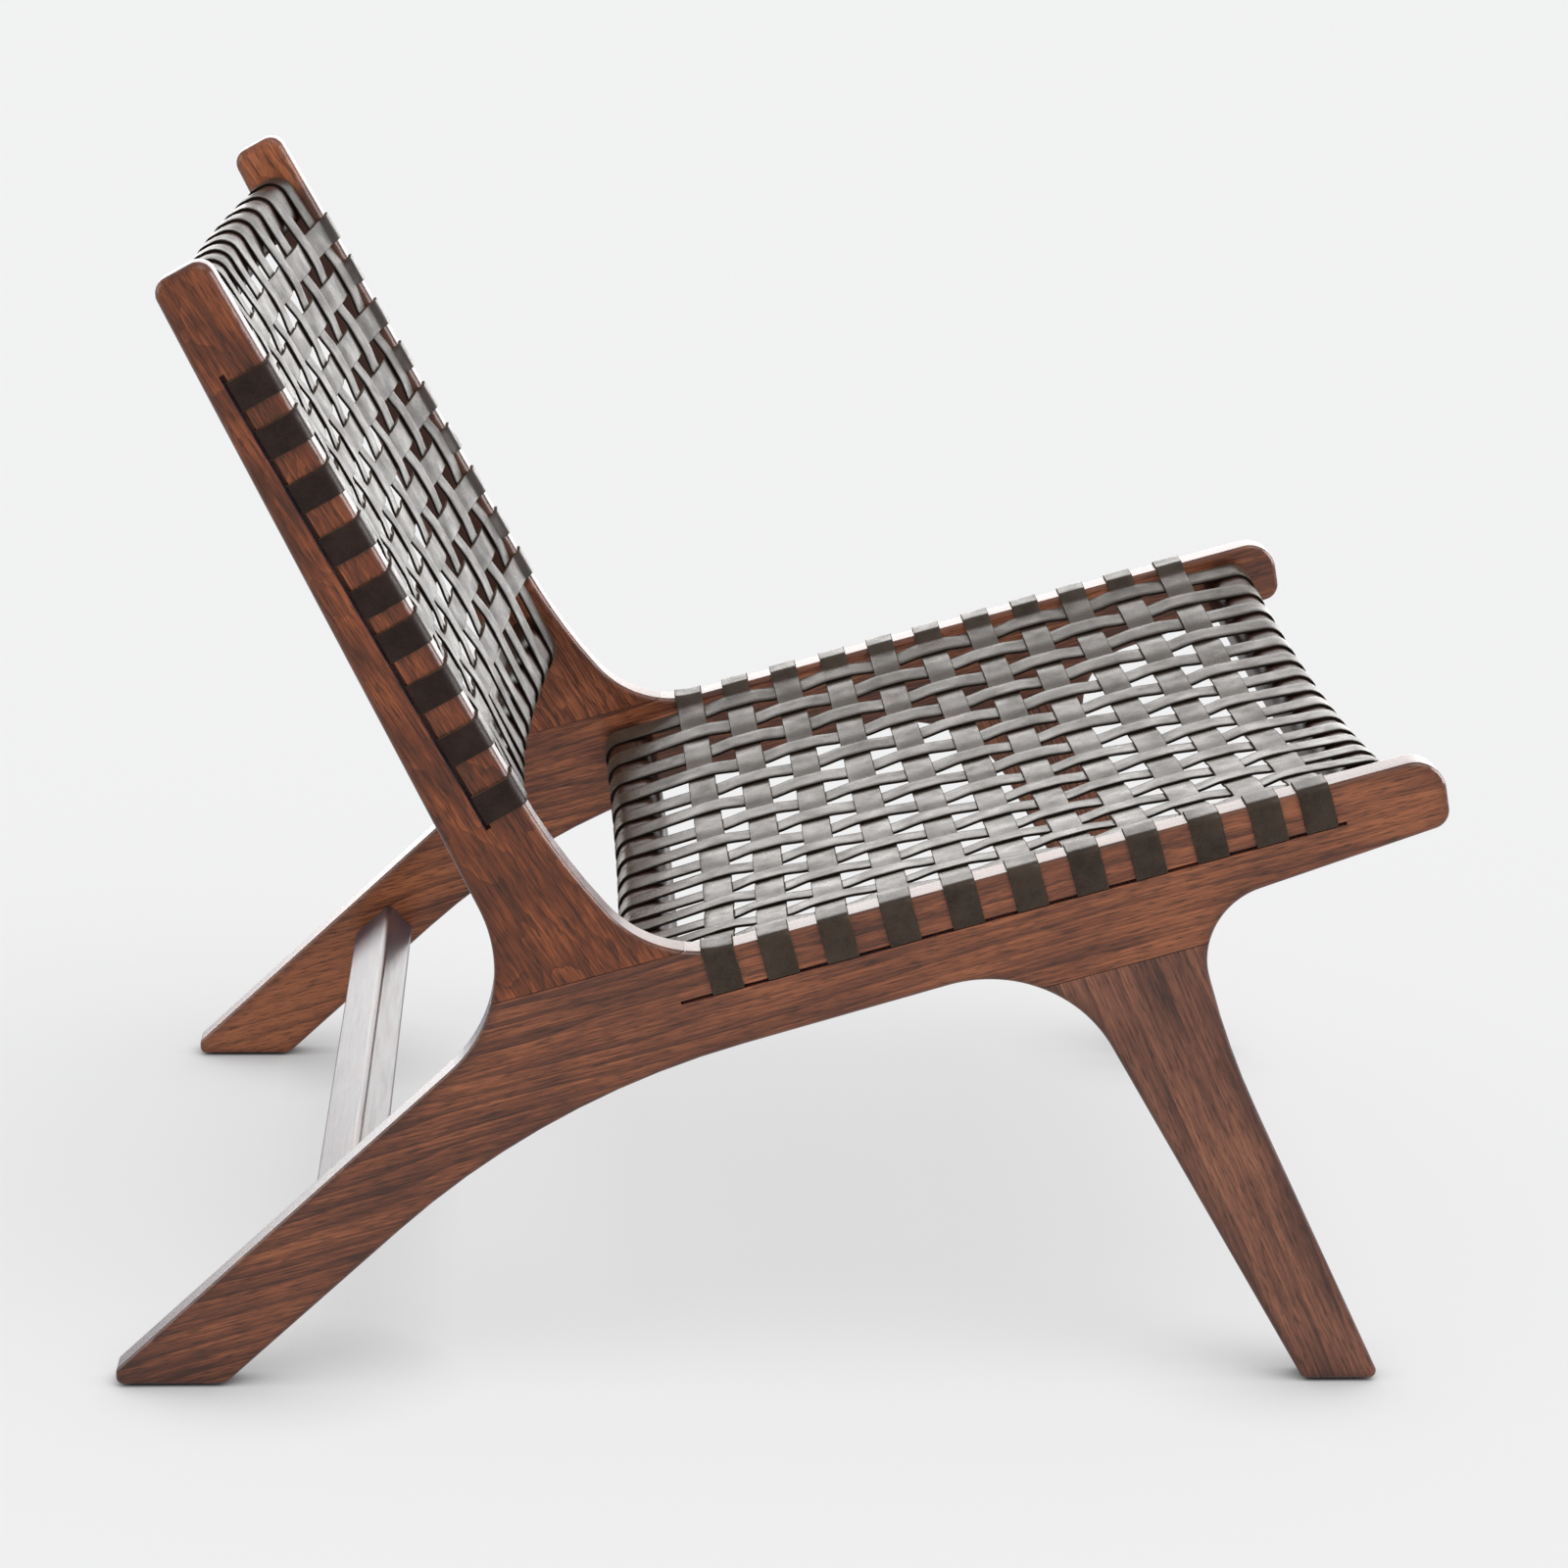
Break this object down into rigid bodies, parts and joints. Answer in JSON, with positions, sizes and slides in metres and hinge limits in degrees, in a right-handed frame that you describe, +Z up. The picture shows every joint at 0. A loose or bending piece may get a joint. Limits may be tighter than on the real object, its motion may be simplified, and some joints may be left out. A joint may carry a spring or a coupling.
{
  "type": "woven strap lounge chair",
  "caption": "Low lounge chair: shaped solid wood side frames joined by bowed cross rails, with a seat and a raked back of leather straps in an open plain weave.",
  "frame": {"origin": "on the floor, under the middle of the chair's bounding box", "axes": "+Z up, +Y to the chair's front, +X to the sitter's right"},
  "size_m": [0.6406, 0.7774, 0.6681],
  "materials": {
    "stained_wood": "satin varnish over a red-brown stain",
    "strap_leather": "smooth waxed strap leather"
  },
  "bodies": {
    "root": {"right_back_post": "stained_wood", "right_seat_rail": "stained_wood", "right_front_leg": "stained_wood", "left_back_post": "stained_wood", "left_seat_rail": "stained_wood", "left_front_leg": "stained_wood", "seat_front_rail": "stained_wood", "seat_rear_rail": "stained_wood", "back_top_rail": "stained_wood", "back_bottom_rail": "stained_wood", "rear_stretcher": "stained_wood", "seat_long_strap_01": "strap_leather", "seat_long_strap_02": "strap_leather", "seat_long_strap_03": "strap_leather", "seat_long_strap_04": "strap_leather", "seat_long_strap_05": "strap_leather", "seat_long_strap_06": "strap_leather", "seat_long_strap_07": "strap_leather", "seat_long_strap_08": "strap_leather", "seat_long_strap_09": "strap_leather", "seat_long_strap_10": "strap_leather", "seat_long_strap_11": "strap_leather", "seat_long_strap_12": "strap_leather", "seat_long_strap_13": "strap_leather", "seat_long_strap_14": "strap_leather", "seat_long_strap_15": "strap_leather", "seat_cross_strap_01": "strap_leather", "seat_cross_strap_02": "strap_leather", "seat_cross_strap_03": "strap_leather", "seat_cross_strap_04": "strap_leather", "seat_cross_strap_05": "strap_leather", "seat_cross_strap_06": "strap_leather", "seat_cross_strap_07": "strap_leather", "seat_cross_strap_08": "strap_leather", "seat_cross_strap_09": "strap_leather", "seat_cross_strap_10": "strap_leather", "seat_cross_strap_11": "strap_leather", "back_upright_strap_01": "strap_leather", "back_upright_strap_02": "strap_leather", "back_upright_strap_03": "strap_leather", "back_upright_strap_04": "strap_leather", "back_upright_strap_05": "strap_leather", "back_upright_strap_06": "strap_leather", "back_upright_strap_07": "strap_leather", "back_upright_strap_08": "strap_leather", "back_upright_strap_09": "strap_leather", "back_upright_strap_10": "strap_leather", "back_upright_strap_11": "strap_leather", "back_upright_strap_12": "strap_leather", "back_upright_strap_13": "strap_leather", "back_upright_strap_14": "strap_leather", "back_cross_strap_01": "strap_leather", "back_cross_strap_02": "strap_leather", "back_cross_strap_03": "strap_leather", "back_cross_strap_04": "strap_leather", "back_cross_strap_05": "strap_leather", "back_cross_strap_06": "strap_leather", "back_cross_strap_07": "strap_leather", "back_cross_strap_08": "strap_leather", "back_cross_strap_09": "strap_leather"}
  },
  "joints": []
}
